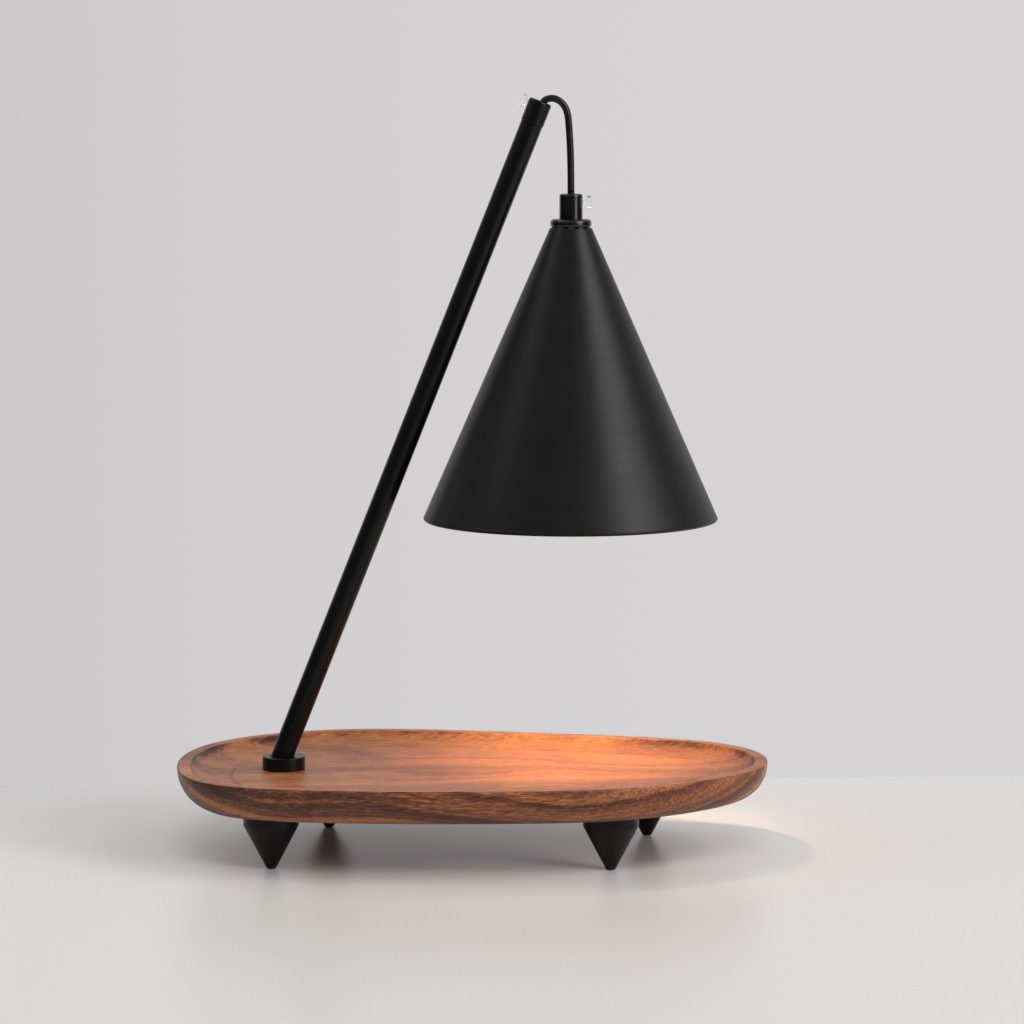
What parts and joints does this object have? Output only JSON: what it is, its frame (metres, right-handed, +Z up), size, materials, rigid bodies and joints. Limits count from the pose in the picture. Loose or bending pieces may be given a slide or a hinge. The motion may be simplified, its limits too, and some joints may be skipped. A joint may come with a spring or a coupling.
{
  "type": "candle warmer lamp",
  "caption": "Table lamp whose halogen cone shade hangs on its flex from a slanted arm over a carved tray, to melt a jar candle from above.",
  "frame": {"origin": "on the surface that the feet stand on, below the centre of the tray's outline", "axes": "+Z up; +X along the tray, from the arm's foot towards the candle's place; +Y away from the front"},
  "size_m": [0.3219, 0.205, 0.413],
  "materials": {
    "walnut": "oiled dark walnut, satin, fine long grain",
    "black_metal": "satin black powder coat",
    "shade_paint": "satin black powder coat outside, white enamel inside",
    "zinc_steel": "bright zinc plate",
    "black_plastic": "moulded black plastic",
    "black_flex": "smooth black PVC sheath",
    "clear_plastic": "clear moulded acrylic",
    "white_ceramic": "unglazed white steatite",
    "contact_brass": "bare brass strip",
    "lead_silicone": "white silicone insulation",
    "pin_nickel": "nickel plated",
    "reflector_mirror": "aluminised pressed glass",
    "clear_glass": "clear pressed glass",
    "filament_wire": "tungsten wire"
  },
  "bodies": {
    "root": {"tray": "walnut", "foot_front_left": "black_metal", "foot_front_right": "black_metal", "foot_back_left": "black_metal", "foot_back_right": "black_metal", "foot_studs": "zinc_steel", "arm_collar": "black_metal", "arm_stud": "zinc_steel", "stud_washer": "zinc_steel", "stud_nut": "zinc_steel", "inlet_bush": "black_plastic", "arm_tube": "black_metal", "tip_ferrule": "black_metal", "arm_cord": "black_flex", "cord_arch": "black_flex"},
    "tip_screw": {"tip_thumb_screw": "clear_plastic"},
    "hanging_cord": {"cord_hang": "black_flex"},
    "cord_end": {"cord_drop": "black_flex"},
    "shade": {"cord_grip": "black_metal", "shade_disc": "black_metal", "grip_nipple": "zinc_steel", "shade_cone": "shade_paint", "nipple_nut": "zinc_steel", "holder_bracket": "zinc_steel", "lampholder": "white_ceramic", "holder_screws": "zinc_steel", "holder_contacts": "contact_brass", "holder_leads": "lead_silicone"},
    "grip_screw": {"grip_thumb_screw": "clear_plastic"},
    "bulb": {"bulb_base": "white_ceramic", "bulb_pins": "pin_nickel", "bulb_reflector": "reflector_mirror", "bulb_lens": "clear_glass", "bulb_capsule": "clear_glass", "bulb_filament": "filament_wire"}
  },
  "joints": [
    {"name": "shade_sway", "type": "hinge", "parent": "root", "child": "hanging_cord", "pos_m": [0.05215, 0, 0.39151], "axis": [0, 1, 0], "range_deg": [-20, 3.5]},
    {"name": "shade_height", "type": "slide", "parent": "hanging_cord", "child": "cord_end", "axis": [0, 0, 1], "range_m": [-0.06, 0.01], "deforming": ["cord_drop"]},
    {"name": "shade_nod", "type": "hinge", "parent": "cord_end", "child": "shade", "pos_m": [0.05302, 0, 0.35921], "axis": [1, 0, 0], "range_deg": [-12, 12]},
    {"name": "tip_screw_turn", "type": "hinge", "parent": "root", "child": "tip_screw", "pos_m": [0.03565, 0, 0.40631], "axis": [-0.9298, 0, 0.3681], "range_deg": [0, 270]},
    {"name": "grip_screw_turn", "type": "hinge", "parent": "shade", "child": "grip_screw", "pos_m": [0.05302, 0, 0.35461], "axis": [1, 0, 0], "range_deg": [0, 270]},
    {"name": "bulb_twist", "type": "hinge", "parent": "shade", "child": "bulb", "pos_m": [0.05302, 0, 0.306], "axis": [0, 0, 1], "range_deg": [0, 25]}
  ]
}
